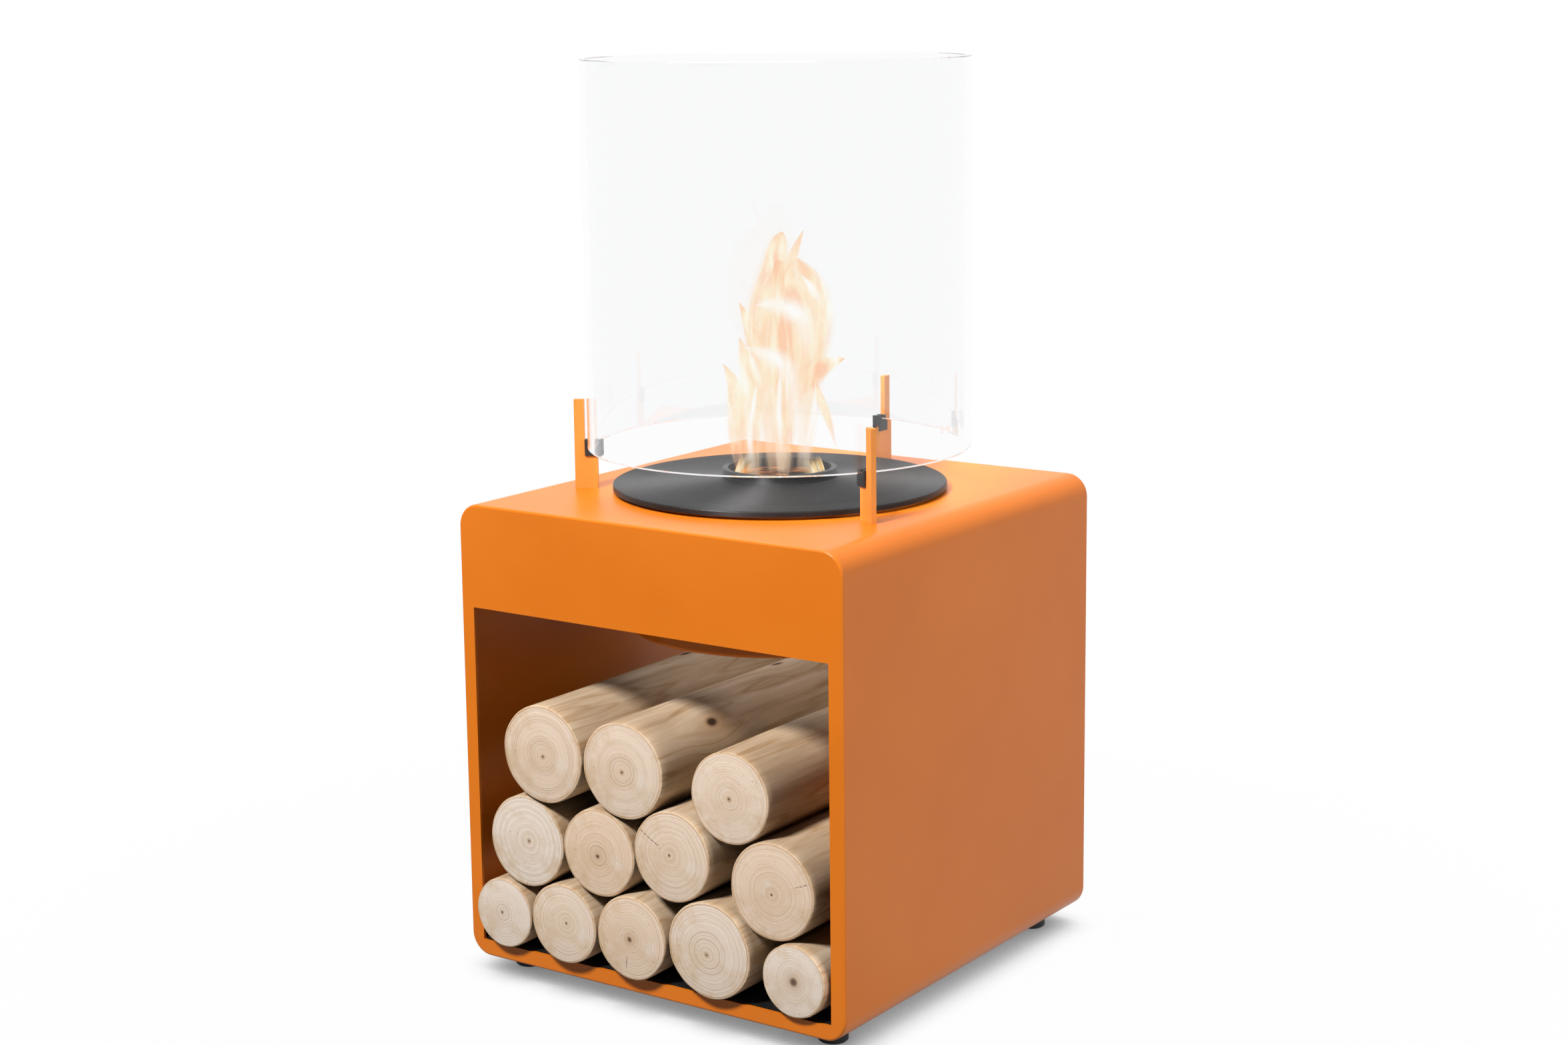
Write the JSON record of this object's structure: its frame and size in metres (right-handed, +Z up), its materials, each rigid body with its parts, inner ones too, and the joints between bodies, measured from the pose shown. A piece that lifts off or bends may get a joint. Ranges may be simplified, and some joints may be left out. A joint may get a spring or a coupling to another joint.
{
  "type": "free-standing ethanol fireplace",
  "caption": "Free-standing ethanol fireplace: folded steel cube with an open log store, a round burner in its top and a lift-off glass cylinder held in clips on stepped posts.",
  "frame": {"origin": "on the ground, under the middle of the whole fireplace with its logs", "axes": "+Z up, the log store's front faces -Y, +X to the right of someone who faces the front"},
  "size_m": [0.42, 0.4364, 0.8435],
  "materials": {
    "powder_coat": "fine-textured orange powder coat",
    "black_steel": "matte black paint",
    "dark_brushed_steel": "dark, brushed in rings",
    "stainless_steel": "drawn stainless steel",
    "zinc_steel": "zinc plated",
    "clear_glass": "clear, polished rims",
    "black_rubber": "matte moulded",
    "log_wood": "peeled round log, sawn ends"
  },
  "bodies": {
    "cabinet": {"cabinet_wrap": "powder_coat", "front_panel": "powder_coat", "back_panel": "powder_coat", "burner_well": "powder_coat", "well_gasket": "black_rubber", "floor_tray": "black_steel", "foot_screws": "zinc_steel", "foot_nuts": "zinc_steel", "post_screws": "zinc_steel", "foot_front_left": "black_rubber", "foot_front_right": "black_rubber", "foot_back_left": "black_rubber", "foot_back_right": "black_rubber", "glass_post_left": "powder_coat", "glass_post_right": "powder_coat", "glass_post_back": "powder_coat", "glass_clip_left": "black_rubber", "glass_clip_right": "black_rubber", "glass_clip_back": "black_rubber"},
    "glass": {"glass_cylinder": "clear_glass"},
    "burner": {"burner_plate": "dark_brushed_steel", "mouth_collar": "dark_brushed_steel", "burner_housing": "stainless_steel", "fuel_cup": "stainless_steel"},
    "log_01": {"log_01": "log_wood"},
    "log_02": {"log_02": "log_wood"},
    "log_03": {"log_03": "log_wood"},
    "log_04": {"log_04": "log_wood"},
    "log_05": {"log_05": "log_wood"},
    "log_06": {"log_06": "log_wood"},
    "log_07": {"log_07": "log_wood"},
    "log_08": {"log_08": "log_wood"},
    "log_09": {"log_09": "log_wood"},
    "log_10": {"log_10": "log_wood"},
    "log_11": {"log_11": "log_wood"},
    "log_12": {"log_12": "log_wood"}
  },
  "joints": [
    {"name": "glass_lift", "type": "slide", "parent": "cabinet", "child": "glass", "axis": [0, 0, 1], "range_m": [0, 0.15]},
    {"name": "burner_lift", "type": "slide", "parent": "cabinet", "child": "burner", "axis": [0, 0, 1], "range_m": [0, 0.14]},
    {"name": "log_01_pull", "type": "slide", "parent": "cabinet", "child": "log_01", "axis": [0, -1, 0], "range_m": [0, 0.36]},
    {"name": "log_02_pull", "type": "slide", "parent": "cabinet", "child": "log_02", "axis": [0, -1, 0], "range_m": [0, 0.36]},
    {"name": "log_03_pull", "type": "slide", "parent": "cabinet", "child": "log_03", "axis": [0, -1, 0], "range_m": [0, 0.36]},
    {"name": "log_04_pull", "type": "slide", "parent": "cabinet", "child": "log_04", "axis": [0, -1, 0], "range_m": [0, 0.36]},
    {"name": "log_05_pull", "type": "slide", "parent": "cabinet", "child": "log_05", "axis": [0, -1, 0], "range_m": [0, 0.36]},
    {"name": "log_06_pull", "type": "slide", "parent": "cabinet", "child": "log_06", "axis": [0, -1, 0], "range_m": [0, 0.36]},
    {"name": "log_07_pull", "type": "slide", "parent": "cabinet", "child": "log_07", "axis": [0, -1, 0], "range_m": [0, 0.36]},
    {"name": "log_08_pull", "type": "slide", "parent": "cabinet", "child": "log_08", "axis": [0, -1, 0], "range_m": [0, 0.36]},
    {"name": "log_09_pull", "type": "slide", "parent": "cabinet", "child": "log_09", "axis": [0, -1, 0], "range_m": [0, 0.36]},
    {"name": "log_10_pull", "type": "slide", "parent": "cabinet", "child": "log_10", "axis": [0, -1, 0], "range_m": [0, 0.36]},
    {"name": "log_11_pull", "type": "slide", "parent": "cabinet", "child": "log_11", "axis": [0, -1, 0], "range_m": [0, 0.36]},
    {"name": "log_12_pull", "type": "slide", "parent": "cabinet", "child": "log_12", "axis": [0, -1, 0], "range_m": [0, 0.36]}
  ]
}
